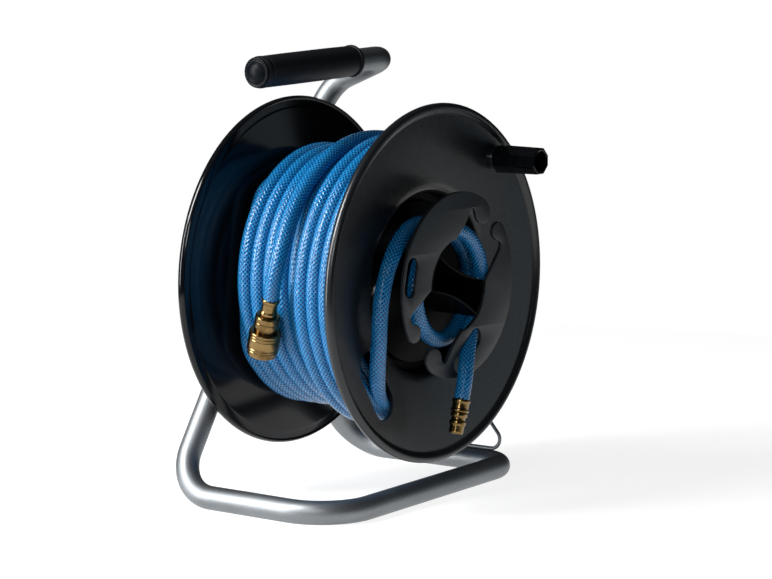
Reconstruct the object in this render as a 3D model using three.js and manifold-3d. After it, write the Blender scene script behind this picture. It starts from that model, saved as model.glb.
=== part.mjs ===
// Hand-carried hose reel: a two-part drum with a wound air hose, turning on an axle that a
// bent steel tube frame holds. Millimetres, +Z up, +Y along the drum's axis towards the frame's
// upright, -Y the open crank side. Every piece is built in the drum's own frame (origin on the
// axle, midway between the rims) and the whole is then set down with its base at z = 0.
import * as THREE from 'three';
import { mergeVertices } from 'three/addons/utils/BufferGeometryUtils.js';
import Module from 'manifold-3d';

const wasm = await Module();
wasm.setup();

// ---- driving dimensions ----
const GAP = 0.3;                 // clearance kept between touching solids

const RIM_R = 135;               // drum flange outer radius
const RIM_Y = 72.4;              // rim plane, each side of the middle
const LIP_W = 7;                 // rolled lip, radial width
const LIP_H = 4.5;               // rolled lip, height over the flange face
const SKIN = 3;                  // flange and barrel wall thickness
const WELL_R = 67;               // mouth of the well in the front flange
const CORE_R = 78;               // outside of the barrel the hose is wound on
const CORE_Y = 57;               // half width of the barrel between the flanges

const HOSE_R = 6;                // hose outside radius
const LAYER2_R = 100.5;          // outside of the second layer
const LAYER3_R = 111;            // outside of the third layer, on the front half only
const LAYER3_END = -9;           // where the third layer stops

const TUBE_R = 9;                // frame tube outside radius
const TUBE_WALL = 1.5;
const BACK_Y = 95;               // plane of the upright, behind the drum
const FLOOR_TUBE_Z = -160.5;     // centre line of the floor loop
const FLOOR_CUT = 8.4;           // floor facet below that centre line
const LEAN = 0.645;              // sideways run of the upright per unit of height
const LEAN_X0 = -9.5;            // where the upright crosses the axle's height

const AXLE_R = 6;
const AXLE_FRONT = 6;            // front end of the axle, along Y
const AXLE_BACK = 122;

const CLIP_Y = -87;              // middle of the clip's crescents
const CLIP_T = 3;
const CLIP_R = 70;               // outside of the crescents
const HUB_R = 35;                // hub the hose end is wrapped on

const KNOB = { x: 74, z: 88.5, from: -72.6, to: -111.5, r: 11, bore: 7.7 };

const GRIP = { y: 28, z: 158.5, left: -92, right: 22, r: 12 };
const HANDLE_CORNER = [68, 28, 163.5];
const HANDLE_TOP_Z = 139;

// ---- colours ----
const paint = (hex, roughness, metalness = 0) =>
  new THREE.MeshStandardMaterial({ color: hex, roughness, metalness });
const STEEL_GREY = [0x9aa0a3, 0.4, 0.7];
const ZINC = [0xb4b8ba, 0.35, 0.9];
const BLACK_GLOSS = [0x101317, 0.25];
const BLACK_SATIN = [0x1b1e22, 0.55];
const BLACK_RUBBER = [0x17191c, 0.7];
const HOSE_BLUE = [0x0a6fb4, 0.3];
const BRASS = [0xa8843f, 0.3, 1];

const reel = new THREE.Group();
const CORD_NODES = [
  'hose_winding', 'hose_tail', 'hose_lead', 'nipple_ferrule', 'plug_nipple',
  'coupling_ferrule', 'coupling_body', 'coupling_sleeve',
];

function put(name, geometry, look) {
  const mesh = new THREE.Mesh(geometry, paint(...look));
  mesh.name = name;
  reel.add(mesh);
  return mesh;
}

// ---- solids ----
function toSolid(geometry) {
  const bare = geometry.clone();
  bare.deleteAttribute('normal');
  bare.deleteAttribute('uv');
  const merged = mergeVertices(bare, 1e-4);
  return new wasm.Manifold(new wasm.Mesh({
    numProp: 3,
    vertProperties: new Float32Array(merged.attributes.position.array),
    triVerts: new Uint32Array(merged.index.array),
  }));
}

function toGeometry(solid) {
  const mesh = solid.getMesh();
  const geometry = new THREE.BufferGeometry();
  geometry.setAttribute('position', new THREE.BufferAttribute(mesh.vertProperties, 3));
  geometry.setIndex(new THREE.BufferAttribute(mesh.triVerts, 1));
  geometry.computeVertexNormals();
  return geometry;
}

const join = (first, ...rest) =>
  toGeometry(rest.reduce((sum, g) => sum.add(toSolid(g)), toSolid(first)));
const cut = (first, ...rest) =>
  toGeometry(rest.reduce((left, g) => left.subtract(toSolid(g)), toSolid(first)));

// A lathe about the drum's axis, from [radius, y] pairs drawn in either sense. An outline that
// does not start on the axis closes on itself.
function ring(profile, sides = 48) {
  const outline = profile.map(([r, y]) => new THREE.Vector2(r, y));
  if (THREE.ShapeUtils.area(outline) < 0) outline.reverse();
  if (profile[0][0] > 0) outline.push(outline[0].clone());
  return new THREE.LatheGeometry(outline, sides);
}

// A round bar along +Y from y0 to y1, centred on (x, z).
function barY(r, y0, y1, x = 0, z = 0, sides = 20) {
  const bar = new THREE.CylinderGeometry(r, r, y1 - y0, sides);
  bar.translate(x, (y0 + y1) / 2, z);
  return bar;
}

// A flat plate in the XZ plane between two Y values, from an outline drawn as (x, z).
function plateY(shape, y0, y1, curveSegments = 10) {
  const plate = new THREE.ExtrudeGeometry(shape, {
    depth: y1 - y0, bevelEnabled: false, curveSegments,
  });
  plate.rotateX(Math.PI / 2);
  plate.translate(0, y1, 0);
  return plate;
}

// A stadium outline between two points.
function stadium([ax, az], [bx, bz], r) {
  const along = Math.atan2(bz - az, bx - ax);
  const shape = new THREE.Shape();
  shape.absarc(bx, bz, r, along - Math.PI / 2, along + Math.PI / 2, false);
  shape.absarc(ax, az, r, along + Math.PI / 2, along + 1.5 * Math.PI, false);
  shape.closePath();
  return shape;
}

const circle = (r, sides = 12, turn = 0) => new THREE.Shape(
  Array.from({ length: sides }, (_, i) => {
    const angle = ((i + turn) / sides) * 2 * Math.PI;
    return new THREE.Vector2(r * Math.cos(angle), r * Math.sin(angle));
  }),
);

// ---- routes ----
// A curve that an extrusion follows station by station, so straight runs take one step.
class Route extends THREE.Curve {
  constructor(stations, tangents) {
    super();
    this.stations = stations;
    this.tangents = tangents;
  }

  getSpacedPoints() {
    return this.stations;
  }

  getTangentAt(u, target = new THREE.Vector3()) {
    const last = this.tangents.length - 1;
    return target.copy(this.tangents[Math.round(u * last)]);
  }
}

// Straight runs between corners, each corner rounded to its own bend radius.
function bentRoute(corners, radii, bendSteps) {
  const at = corners.map((c) => new THREE.Vector3(...c));
  const stations = [at[0]];
  const tangents = [at[1].clone().sub(at[0]).normalize()];
  for (let i = 1; i < at.length - 1; i += 1) {
    const before = at[i].clone().sub(at[i - 1]).normalize();
    const after = at[i + 1].clone().sub(at[i]).normalize();
    const turn = before.angleTo(after);
    const start = at[i].clone().addScaledVector(before, -radii[i - 1] * Math.tan(turn / 2));
    const inward = after.clone().addScaledVector(before, -after.dot(before)).normalize();
    const centre = start.clone().addScaledVector(inward, radii[i - 1]);
    for (let k = 0; k <= bendSteps; k += 1) {
      const angle = (turn * k) / bendSteps;
      stations.push(centre.clone()
        .addScaledVector(before, radii[i - 1] * Math.sin(angle))
        .addScaledVector(inward, -radii[i - 1] * Math.cos(angle)));
      tangents.push(before.clone().multiplyScalar(Math.cos(angle))
        .addScaledVector(inward, Math.sin(angle)));
    }
  }
  stations.push(at.at(-1));
  tangents.push(at.at(-1).clone().sub(at.at(-2)).normalize());
  return new Route(stations, tangents);
}

// A smooth curve through hand-set points.
function smoothRoute(points, steps) {
  const curve = new THREE.CatmullRomCurve3(
    points.map((p) => new THREE.Vector3(...p)), false, 'centripetal',
  );
  const stations = curve.getSpacedPoints(steps);
  const tangents = stations.map((_, i) => curve.getTangentAt(i / steps));
  return new Route(stations, tangents);
}

const sweep = (shape, route) => new THREE.ExtrudeGeometry(shape, {
  extrudePath: route, steps: route.stations.length - 1, bevelEnabled: false,
});

// ---- frame ----
const upright = (z) => [LEAN_X0 + LEAN * z, BACK_Y, z];
const AXLE_TAB_Y = BACK_Y + TUBE_R + GAP;     // front of the strut's flattened end
const TAB_T = 3;

function frameTube() {
  const corners = [
    [GRIP.left + 2, GRIP.y, GRIP.z],
    HANDLE_CORNER,
    upright(HANDLE_TOP_Z),
    upright(FLOOR_TUBE_Z),
    [-113, -58, FLOOR_TUBE_Z],
    [131, -46, FLOOR_TUBE_Z],
    [124, AXLE_TAB_Y + TAB_T / 2, FLOOR_TUBE_Z],
    [25, AXLE_TAB_Y + TAB_T / 2, -25 * 1.2],
  ];
  const route = bentRoute(corners, [24, 26, 36, 40, 24, 34], 6);
  const section = circle(TUBE_R);
  section.holes.push(circle(TUBE_R - TUBE_WALL));
  const tube = sweep(section, route);

  const floor = new THREE.BoxGeometry(400, 400, 20);
  floor.translate(0, 0, FLOOR_TUBE_Z - FLOOR_CUT - 10);
  const axleHole = barY(AXLE_R + GAP, 70, 130);
  return cut(join(tube, strutEnd(route)), floor, axleHole);
}

// The far end of the strut, pressed flat so that it lies against the back of the upright.
function strutEnd(route) {
  const foot = route.stations.at(-1);
  const along = route.tangents.at(-1);
  const reach = Math.hypot(foot.x, foot.z) + 11;
  const pressed = new THREE.CylinderGeometry(TUBE_R - 0.05, TUBE_R - 0.05, reach, 12, 8);
  const at = pressed.attributes.position;
  for (let i = 0; i < at.count; i += 1) {
    const t = Math.min(1, Math.max(0, (at.getY(i) + reach / 2) / 16));
    const flat = t * t * (3 - 2 * t);
    at.setX(i, at.getX(i) * (1 + 0.35 * flat));
    at.setZ(i, at.getZ(i) * (1 - (1 - TAB_T / 2 / TUBE_R) * flat));
  }
  const frame = new THREE.Matrix4().makeBasis(
    new THREE.Vector3(0, 1, 0).cross(along).normalize().negate(),
    along,
    new THREE.Vector3(0, 1, 0),
  );
  pressed.translate(0, reach / 2 - 1, 0);
  pressed.applyMatrix4(frame);
  pressed.translate(foot.x, foot.y, foot.z);
  return pressed;
}

function gripSleeve() {
  const { left, right, r, y, z } = GRIP;
  const bore = TUBE_R + GAP;
  const profile = [
    [bore, left], [r - 0.6, left], [r, left + 1.5], [r, left + 4], [r - 0.7, left + 4.8],
    [r - 0.7, left + 6.4], [r - 0.2, left + 7.2], [r - 0.2, right - 6], [r - 0.8, right - 5],
    [r - 0.8, right - 3.6], [r + 0.4, right - 2.8], [r + 0.4, right - 0.8], [r - 0.4, right],
    [bore, right],
  ];
  return layOnGrip(ring(profile, 24), y, z);
}

// The grip's own axis follows the handle tube, which rises a little towards its corner.
function layOnGrip(geometry, y, z) {
  const rise = Math.atan2(HANDLE_CORNER[2] - z, HANDLE_CORNER[0] - GRIP.left - 2);
  geometry.rotateZ(-Math.PI / 2);
  geometry.translate(-(GRIP.left + 2), 0, 0);
  geometry.rotateY(-rise);
  geometry.translate(GRIP.left + 2, y, z);
  return geometry;
}

function gripEndCap() {
  const { left, r, y, z } = GRIP;
  const stem = TUBE_R - TUBE_WALL - GAP;
  const face = left - GAP;
  const profile = [
    [0, face - 5.6], [4, face - 5.1], [7.2, face - 3.6], [8.6, face - 1.9], [r - 1.6, face - 2.2],
    [r - 0.5, face - 1.3], [r - 0.5, face], [stem, face], [stem, face + 14], [0, face + 14],
  ];
  return layOnGrip(ring(profile, 24), y, z);
}

// Wire eye that the hose is led through, standing on the side rail.
function guideLoop() {
  const foot = FLOOR_TUBE_Z + TUBE_R + GAP + 1.5;
  const x = 128.5;
  const corners = [
    [x - 1.2, 6.4, foot], [x - 4.4, 52, foot], [x - 1.4, 2, -92], [x, -47, foot], [x - 1.2, 5.6, foot],
  ];
  return sweep(circle(1.5, 8), bentRoute(corners, [8, 16, 8], 5));
}

// ---- axle set ----
const hexNut = (r, y0, y1) => cut(
  new THREE.CylinderGeometry(r, r, y1 - y0, 6).translate(0, (y0 + y1) / 2, 0),
  barY(AXLE_R + GAP, y0 - 5, y1 + 5),
);
const washer = (inner, outer, y0, y1) =>
  ring([[inner, y0], [outer, y0], [outer, y1], [inner, y1]], 24);

function axle() {
  return ring([
    [0, AXLE_FRONT], [AXLE_R - 0.8, AXLE_FRONT], [AXLE_R, AXLE_FRONT + 0.8],
    [AXLE_R, AXLE_FRONT + 2.4], [AXLE_R - 0.8, AXLE_FRONT + 2.4],
    [AXLE_R - 0.8, AXLE_FRONT + 3.8], [AXLE_R, AXLE_FRONT + 3.8],
    [AXLE_R, AXLE_BACK - 1], [AXLE_R - 1, AXLE_BACK], [0, AXLE_BACK],
  ], 20);
}

// Retaining ring in the axle's groove, open at one side.
function axleClip() {
  const y0 = AXLE_FRONT + 2.4 + 0.15;
  const y1 = AXLE_FRONT + 3.8 - 0.15;
  const mouth = new THREE.BoxGeometry(8, 10, 5);
  mouth.translate(8, y0, 0);
  return cut(ring([[AXLE_R - 0.5, y0], [9, y0], [9, y1], [AXLE_R - 0.5, y1]], 24), mouth);
}

// ---- drum ----
// Height of a flange's face over the drum's middle, at a radius: a shallow dish.
const dish = (r) => CORE_Y + SKIN + (r - WELL_R) * 0.15;

function lipProfile(side) {
  const inner = RIM_R - LIP_W;
  return [
    [inner, dish(inner)], [inner + 1, RIM_Y - 1.2], [inner + 3, RIM_Y], [RIM_R - 1.6, RIM_Y],
    [RIM_R, RIM_Y - 1.6], [RIM_R, RIM_Y - 7], [RIM_R - SKIN * 0.8, RIM_Y - 7],
    [RIM_R - SKIN * 0.8, dish(inner) - SKIN + 1.4], [inner - 1, dish(inner) - SKIN],
  ].map(([r, y]) => [r, side * y]);
}

const SLOT = [[-79, -55], [-63, -82], 13];      // stadium that the hose's inner end comes through
const POST_R = 69;                              // screw posts inside the barrel
const POST_ANGLES = [45, 135, 225, 315];
const LEDGE_Y = -47;                            // front of the ledge that carries the clip
const polar = (r, degrees) => {
  const a = (degrees * Math.PI) / 180;
  return [r * Math.cos(a), r * Math.sin(a)];
};

function frontDrumHalf() {
  const ledge = LEDGE_Y + SKIN;
  const back = (r) => SKIN - dish(r);
  const profile = [
    [50, LEDGE_Y], [WELL_R, LEDGE_Y], [WELL_R, -CORE_Y], [WELL_R + 1.2, -CORE_Y - 2.6],
    [WELL_R + 3, -dish(WELL_R + 3)], ...lipProfile(-1), [CORE_R, back(CORE_R)],
    [CORE_R, CORE_Y - GAP], [CORE_R - SKIN, CORE_Y - GAP], [CORE_R - SKIN, back(CORE_R)],
    [WELL_R + SKIN, back(CORE_R)], [WELL_R + SKIN, ledge], [50, ledge],
  ];
  let solid = toSolid(ring(profile, 64));
  const fuse = (g) => { solid = solid.add(toSolid(g)); };
  const bite = (g) => { solid = solid.subtract(toSolid(g)); };
  POST_ANGLES.forEach((a) => {
    const [x, z] = polar(POST_R, a);
    fuse(barY(7, CORE_Y - 26, CORE_Y - GAP, x, z, 12));
    bite(barY(2.3, CORE_Y - 20, CORE_Y + 5, x, z, 12));
  });
  CLIP_SCREW_ANGLES.forEach((a) => {
    const [x, z] = polar(CLIP_SCREW_R, a);
    bite(barY(2.3, LEDGE_Y - 5, ledge + 5, x, z, 12));
  });
  fuse(barY(8.5, KNOB.from + 0.6, -65, KNOB.x, KNOB.z, 20));
  bite(barY(2.3, -80, -50, KNOB.x, KNOB.z, 12));
  bite(plateY(stadium(...SLOT), -80, -55));
  return toGeometry(solid);
}

const BOSS_R = 13;
const BOSS_FRONT = 14;
const BOSS_BACK = 74;
const BUSH_R = 9;
const RIB = 46;                  // length of each stiffening rib on the back

function rearFlange() {
  const back = CORE_Y + SKIN;
  const profile = [
    [BUSH_R, BOSS_FRONT], [BOSS_R, BOSS_FRONT], [BOSS_R + 1, CORE_Y], [WELL_R + 2, CORE_Y],
    ...lipProfile(1).reverse(), [WELL_R + 2, dish(WELL_R + 2)], [WELL_R - 4, back],
    [BOSS_R + 3, back], [BOSS_R, BOSS_BACK], [BUSH_R, BOSS_BACK],
  ];
  let solid = toSolid(ring(profile, 64));
  POST_ANGLES.forEach((a) => {
    const [x, z] = polar(POST_R, a);
    solid = solid.subtract(toSolid(barY(2.3, CORE_Y - 5, back + 5, x, z, 12)));
  });
  for (let i = 0; i < 8; i += 1) {
    const rib = new THREE.BoxGeometry(RIB, 6, 2.4);
    rib.translate(BOSS_R + RIB / 2 + 1, back + 2.5, 0);
    rib.rotateY(((i * 45 + 22.5) * Math.PI) / 180);
    solid = solid.add(toSolid(rib));
  }
  return toGeometry(solid);
}

// Flanged plain bearing pressed into the boss, its collar at one end.
function bush(end, inward) {
  const r = BUSH_R - GAP;
  const bore = AXLE_R + GAP;
  const lip = BOSS_R - 1;
  const out = -inward;
  return ring([
    [bore, end + out * 1.8], [lip, end + out * 1.8], [lip, end + out * GAP], [r, end + out * GAP],
    [r, end + inward * 14], [bore, end + inward * 14],
  ], 24);
}

// Pan-head screw along Y, its head facing the way out points.
function screwY(x, z, seat, out, length, shankR, headR) {
  const head = new THREE.CylinderGeometry(headR * 0.8, headR, 2.6, 16);
  if (out < 0) head.rotateX(Math.PI);
  head.translate(x, seat + out * (1.3 + GAP), z);
  const shank = barY(shankR, Math.min(seat - out * length, seat + out), Math.max(seat - out * length, seat + out), x, z, 10);
  const slot = new THREE.BoxGeometry(headR * 1.3, 1.6, 1);
  const cross = new THREE.BoxGeometry(1, 1.6, headR * 1.3);
  slot.translate(x, seat + out * (2.6 + GAP), z);
  cross.translate(x, seat + out * (2.6 + GAP), z);
  return toGeometry(toSolid(head).add(toSolid(shank)).subtract(toSolid(slot)).subtract(toSolid(cross)));
}

// ---- hose-end clip ----
const CLIP_SCREW_R = 56;
const CLIP_SCREW_ANGLES = [60, 180, 300];
const rad = (degrees) => (degrees * Math.PI) / 180;

// One crescent: a round knob at one end, a hook at the other and an arm to the hub between.
// The arm leaves the knob through a notch, whose points run from the knob to the hub.
function crescent(knobAt, notch) {
  const shape = new THREE.Shape();
  shape.absarc(0, 0, CLIP_R, rad(58), rad(knobAt - 4), false);
  const [kx, kz] = polar(62.4, knobAt);
  shape.absarc(kx, kz, 7.4, rad(knobAt), rad(knobAt + 168), false);
  notch.forEach(([x, z]) => shape.lineTo(x, z));
  shape.lineTo(...polar(HUB_R, 180));
  shape.absarc(0, 0, HUB_R, rad(180), rad(96), true);
  shape.lineTo(8.6, 46);
  shape.lineTo(15, 54.5);
  shape.quadraticCurveTo(18.6, 58.8, 21.2, 53.6);
  shape.quadraticCurveTo(22.4, 44.6, 30.4, 43.6);
  shape.quadraticCurveTo(38.6, 43, 40.2, 48.6);
  shape.quadraticCurveTo(41.6, 54.6, ...polar(CLIP_R, 58));
  return shape;
}
const LEFT_NOTCH = [[-51.5, -23.2], [-57, -22.4], [-60.4, -19.5], [-60, -15.8]];
const RIGHT_NOTCH = [[-50.4, -28.6], [-53.6, -28], [-55.4, -26], [-54.6, -23]];

// Outline of the hub: an arc under each crescent's arm and a nearly straight side where the
// hose crosses, drawn inset by a distance for the pocket.
function hubOutline(inset = 0) {
  const r = HUB_R - inset;
  const shape = new THREE.Shape();
  [133, 313].forEach((start) => {
    const [ax, az] = polar(r - 0.5, start + inset);
    const [bx, bz] = polar(r, start + 48);
    const [cx, cz] = polar(r - 0.5, start + 180 + inset);
    const [mx, mz] = polar(9.6 - inset, start + 115);
    if (start === 133) shape.moveTo(ax, az);
    shape.absarc(0, 0, r, rad(start + inset), rad(start + 48), false);
    shape.quadraticCurveTo(mx - (bx + cx) * 0.1, mz - (bz + cz) * 0.1, cx, cz);
  });
  return shape;
}

function hoseClip() {
  const front = CLIP_Y - CLIP_T / 2;
  const base = LEDGE_Y - GAP;
  const left = plateY(crescent(208, LEFT_NOTCH), front, front + CLIP_T);
  const right = plateY(crescent(215, RIGHT_NOTCH), front, front + CLIP_T).rotateY(Math.PI);
  const hub = plateY(hubOutline(), front + 0.8, base - 0.5);
  const disc = barY(61, base - SKIN, base, 0, 0, 48);
  const window = plateY(stadium([-60, 4], [-56.5, 20], 6.6), front - 5, front + 8);
  const exit = plateY(stadium([0, -60], [27, -37.5], 7), front - 5, front + 8);
  const pocket = plateY(hubOutline(2.4), front - 5, base - 6);
  let solid = toSolid(hub).add(toSolid(left)).add(toSolid(right)).add(toSolid(disc));
  [window, exit, pocket].forEach((g) => { solid = solid.subtract(toSolid(g)); });
  CLIP_SCREW_ANGLES.forEach((a) => {
    const [x, z] = polar(CLIP_SCREW_R, a);
    solid = solid.subtract(toSolid(barY(2.3, base - 10, base + 5, x, z, 12)));
  });
  return toGeometry(solid);
}

// ---- crank knob ----
function crankKnob() {
  const { x, z, from, to, r, bore } = KNOB;
  const body = new THREE.CylinderGeometry(r - 0.4, r + 0.2, from - to, 8);
  body.rotateX(Math.PI);
  body.rotateY(Math.PI / 8);
  body.translate(x, (from + to) / 2, z);
  return cut(
    body,
    barY(bore, to - 5, from - 6, x, z, 24),
    barY(3.3, from - 10, from + 5, x, z, 16),
  );
}

function crankPin() {
  const { x, z, from } = KNOB;
  const seat = from - 6 - GAP;
  return join(
    barY(5.6, seat - 3, seat, x, z, 16),
    barY(3, seat - 0.5, from + 0.3, x, z, 16),
    barY(2, from, -62, x, z, 12),
  );
}

// ---- hose ----
const TAIL_ROUTE = [
  [-34.5, -53, -95], [-50, -55.2, -87], [-61.3, -59.4, -78], [-70, -65, -66.5], [-76, -69.9, -51],
  [-79.2, -73.3, -35.5],
  [-80, -74.5, -21], [-77.5, -74.7, -2], [-71, -74.2, 15], [-60, -72.8, 30], [-45, -70.3, 41],
  [-27, -67.8, 46.5], [-8, -66.4, 45.2], [10.8, -66.2, 40.2], [26.6, -66.2, 31.7],
  [37.7, -66.2, 17.6], [41.6, -66.4, 0], [37.7, -67.4, -17.6], [26.8, -69.2, -31.9],
  [10.8, -71.4, -40.2], [-7.2, -73.6, -41], [-23.9, -75.7, -34.1], [-36.2, -77.3, -20.6],
  [-41.6, -78.3, -3.6], [-39, -78.8, 14.2], [-29.5, -79, 29.2], [-14.2, -79.2, 39],
  [3.6, -79, 41.6], [20.8, -79, 36], [34, -79, 24], [41, -79, 7], [41, -79, -10.8],
  [34.8, -78.8, -26], [26.5, -80, -36.2], [19, -84.2, -43.5], [11.6, -88.2, -50],
  [5.2, -91.8, -57], [0.2, -94.3, -65.5], [-3.4, -95.4, -75],
];
const TAIL_END = [-6, -95.3, -84];              // where the hose enters its nipple

const onDrum = ([r, degrees, y]) => {
  const [x, z] = polar(r, degrees);
  return [x, y, z];
};
const LEAD_ROUTE = [
  [104, 20, -15], [104.6, 40, -13], [105.3, 60, -10.5], [105.8, 78, -7.5], [105.6, 95, -3.8],
  [105.3, 112, -2.6], [105.4, 128, -2.6], [107.6, 140, -3.6], [111, 150, -5.6],
  [114.5, 160, -7.6], [116.4, 168, -7.6], [116.9, 175, -5.6],
].map(onDrum);
const LEAD_END = [-114, -1, -4];                // where the hose enters its coupling

const windingProfile = (grow) => [
  [CORE_R + GAP - grow, CORE_Y - GAP + grow],
  [CORE_R + GAP - grow, SKIN + 0.5 - dish(CORE_R) - grow],
  [LAYER3_R + grow, SKIN + 0.5 - dish(LAYER3_R) - grow],
  [LAYER3_R + grow, LAYER3_END + grow], [LAYER2_R + grow, LAYER3_END + grow],
  [LAYER2_R + grow, 51 + grow], [LAYER2_R - 8, CORE_Y - GAP + grow],
];
const hoseWinding = () => ring(windingProfile(0), 64);

// A free stretch of hose, cut away where it sinks into the winding.
function hoseRun(points, end, steps) {
  const run = toSolid(sweep(circle(HOSE_R, 10), smoothRoute([...points, end], steps)));
  const pieces = run.subtract(toSolid(ring(windingProfile(GAP), 64))).decompose();
  return toGeometry(pieces.reduce((most, piece) => (piece.volume() > most.volume() ? piece : most)));
}

// A turned fitting: profile of [radius, distance along], laid from a point along a direction.
function turned(profile, from, towards, sides = 20) {
  const piece = ring(profile, sides);
  const start = new THREE.Vector3(...from);
  const along = new THREE.Vector3(...towards).sub(start).normalize();
  piece.applyQuaternion(new THREE.Quaternion().setFromUnitVectors(new THREE.Vector3(0, 1, 0), along));
  piece.translate(start.x, start.y, start.z);
  return piece;
}

const beyond = (route, end, distance) => {
  const last = new THREE.Vector3(...end);
  const back = new THREE.Vector3(...route.at(-1));
  return last.clone().addScaledVector(last.clone().sub(back).normalize(), distance).toArray();
};

const NIPPLE_TO = beyond(TAIL_ROUTE, TAIL_END, 40);
const COUPLING_TO = [-105.5, 15.4, -49.4];

function nippleFerrule() {
  return turned([
    [0, GAP], [6.6, GAP], [6.9, 1], [6.9, 2.4], [6.2, 3], [6.2, 7.4], [6.9, 8], [6.9, 9.4],
    [6.4, 10], [0, 10],
  ], TAIL_END, NIPPLE_TO);
}

function plugNipple() {
  return turned([
    [3.8, 10.3], [5.6, 10.3], [6.3, 11], [6.3, 13], [5.2, 14], [5.2, 16], [6.2, 17], [6.2, 19],
    [5.4, 20.2], [5.4, 25], [4.8, 26.2], [3.8, 26.2],
  ], TAIL_END, NIPPLE_TO);
}

function couplingFerrule() {
  return turned([
    [0, GAP], [6.2, GAP], [6.8, 1], [6.8, 3], [5.9, 3.8], [5.7, 10], [6.5, 11.4], [6.5, 13.2],
    [5.6, 14], [0, 14],
  ], LEAD_END, COUPLING_TO);
}

function couplingBody() {
  return turned([
    [4, 14.3], [8.2, 14.3], [9.4, 15], [9.4, 23.4], [8.4, 23.8], [8.4, 45.5], [7.6, 46.3],
    [5.2, 46.3], [5.2, 30], [4, 29],
  ], LEAD_END, COUPLING_TO);
}

function couplingSleeve() {
  return turned([
    [8.7, 27.2], [11.3, 27.2], [11.9, 27.8], [11.9, 30.4], [11.4, 30.8], [11.4, 31.4],
    [11.9, 31.8], [11.9, 39.6], [11.5, 40], [11.5, 40.6], [11.9, 41], [11.9, 43], [11.2, 44],
    [10.8, 47], [8.7, 47],
  ], LEAD_END, COUPLING_TO, 28);
}

// ---- assembly ----
put('frame_tube', frameTube(), STEEL_GREY);
put('grip_sleeve', gripSleeve(), BLACK_RUBBER);
put('grip_end_cap', gripEndCap(), BLACK_SATIN);
put('guide_loop', guideLoop(), STEEL_GREY);

const tabBack = AXLE_TAB_Y + TAB_T + 0.6;
put('axle', axle(), ZINC);
put('axle_washer', washer(AXLE_R + GAP, 11.5, tabBack + 0.3, tabBack + 2), ZINC);
put('axle_nut', hexNut(10.4, tabBack + 2.3, tabBack + 11), ZINC);
put('axle_spacer', washer(AXLE_R + GAP, 8.6, BOSS_BACK + 2.4, BACK_Y - TUBE_R - 0.6), ZINC);
put('front_washer', washer(AXLE_R + GAP, 11, AXLE_FRONT + 4.2, BOSS_FRONT - 2.1), ZINC);
put('axle_clip', axleClip(), ZINC);

put('front_drum_half', frontDrumHalf(), BLACK_SATIN);
put('rear_flange', rearFlange(), BLACK_GLOSS);
put('bush_rear', bush(BOSS_BACK, -1), BLACK_SATIN);
put('bush_front', bush(BOSS_FRONT, 1), BLACK_SATIN);
POST_ANGLES.forEach((a, i) => {
  const [x, z] = polar(POST_R, a);
  put(`flange_screw_${i + 1}`, screwY(x, z, dish(POST_R) + 0.8, 1, 20, 2, 4.4), ZINC);
});

put('hose_clip', hoseClip(), BLACK_SATIN);
CLIP_SCREW_ANGLES.forEach((a, i) => {
  const [x, z] = polar(CLIP_SCREW_R, a);
  put(`clip_screw_${i + 1}`, screwY(x, z, LEDGE_Y - GAP - SKIN, -1, 12, 2, 4), ZINC);
});

put('crank_pin', crankPin(), ZINC);
put('crank_knob', crankKnob(), BLACK_SATIN);

put('hose_winding', hoseWinding(), HOSE_BLUE);
put('hose_tail', hoseRun(TAIL_ROUTE, TAIL_END, 64), HOSE_BLUE);
put('hose_lead', hoseRun(LEAD_ROUTE, LEAD_END, 32), HOSE_BLUE);
put('nipple_ferrule', nippleFerrule(), BRASS);
put('plug_nipple', plugNipple(), BRASS);
put('coupling_ferrule', couplingFerrule(), BRASS);
put('coupling_body', couplingBody(), BRASS);
put('coupling_sleeve', couplingSleeve(), BRASS);

// Origin: middle of the footprint at floor height, taken without the hose and its fittings.
const extent = new THREE.Box3();
reel.children
  .filter((mesh) => !CORD_NODES.includes(mesh.name))
  .forEach((mesh) => extent.expandByObject(mesh, true));
const middle = extent.getCenter(new THREE.Vector3());
reel.position.set(-middle.x, -middle.y, -extent.min.z);

export default reel;
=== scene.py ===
"""Looks of the hand-carried air hose reel: camera, light, hose, tube, mouldings and brass."""
import math

import bmesh
import bpy
import numpy as np
from mathutils import Matrix, Vector


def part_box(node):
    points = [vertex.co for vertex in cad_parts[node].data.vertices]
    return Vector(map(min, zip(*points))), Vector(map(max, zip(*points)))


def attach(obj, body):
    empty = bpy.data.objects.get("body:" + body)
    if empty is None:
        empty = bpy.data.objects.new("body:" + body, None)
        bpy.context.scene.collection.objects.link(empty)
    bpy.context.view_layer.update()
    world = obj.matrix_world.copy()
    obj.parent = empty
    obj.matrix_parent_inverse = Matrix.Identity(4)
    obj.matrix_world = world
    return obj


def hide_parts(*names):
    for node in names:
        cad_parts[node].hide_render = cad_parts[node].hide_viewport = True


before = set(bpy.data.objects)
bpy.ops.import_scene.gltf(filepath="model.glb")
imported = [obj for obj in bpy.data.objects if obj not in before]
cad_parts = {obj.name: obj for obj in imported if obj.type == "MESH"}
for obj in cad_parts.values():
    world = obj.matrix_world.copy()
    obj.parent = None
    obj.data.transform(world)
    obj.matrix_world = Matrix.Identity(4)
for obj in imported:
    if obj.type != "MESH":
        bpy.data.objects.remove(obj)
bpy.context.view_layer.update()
MM = 0.001

# ---- the drum's own frame: origin on the axle midway between the rims, millimetres ----
AXLE_FRONT = 6.0
axle_low, axle_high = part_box("axle")
AXIS = np.array([
    (axle_low[0] + axle_high[0]) / 2,
    axle_low[1] - AXLE_FRONT * MM,
    (axle_low[2] + axle_high[2]) / 2,
])


def place(points):
    """Drum millimetres to scene metres."""
    return np.asarray(points, float) * MM + AXIS


# ---- camera ----
CAMERA_AT = (-1682.6, -1280.0, 278.2)
CAMERA_AZIMUTH = -53.183
CAMERA_ELEVATION = 7.768
LENS = 130.46


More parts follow.
